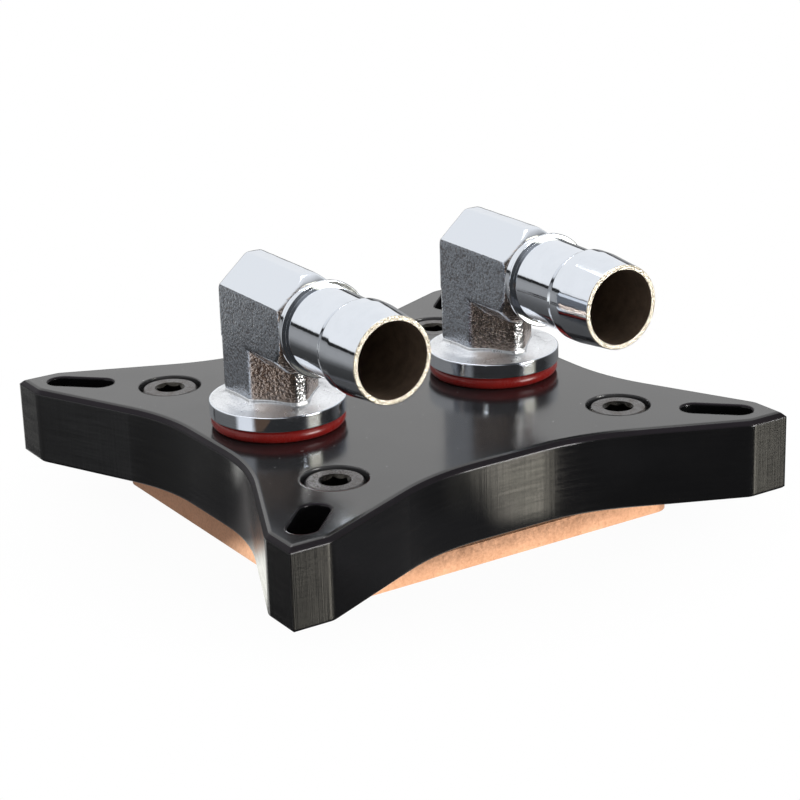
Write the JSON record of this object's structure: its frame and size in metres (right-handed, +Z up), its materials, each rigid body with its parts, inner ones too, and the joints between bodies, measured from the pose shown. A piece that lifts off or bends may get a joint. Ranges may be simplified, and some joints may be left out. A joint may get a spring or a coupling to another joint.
{
  "type": "liquid cooling cold plate",
  "caption": "Liquid cooling cold plate: a copper base screwed under a black star-shaped acetal cover, with chromed elbow fittings that end in hose barbs.",
  "frame": {"origin": "middle of the copper base's underside, the face that lies on the chip", "axes": "+Z up from the chip through the cover; +X from one port to the other; both elbows open along -Y"},
  "size_m": [0.0918, 0.0918, 0.0449],
  "materials": {
    "copper": "milled copper, unplated",
    "black_acetal": "milled black acetal",
    "seal_rubber": "moulded",
    "red_silicone": "moulded, glossy",
    "steel": "stainless, satin",
    "chrome": "plated over a forged body and turned ends"
  },
  "bodies": {
    "root": {"base_plate": "copper", "top_cover": "black_acetal", "main_seal": "seal_rubber", "screw_front_left": "steel", "screw_front_right": "steel", "screw_back_right": "steel", "screw_back_left": "steel", "elbow_left": "chrome", "port_ring_left": "red_silicone", "elbow_right": "chrome", "port_ring_right": "red_silicone"}
  },
  "joints": []
}
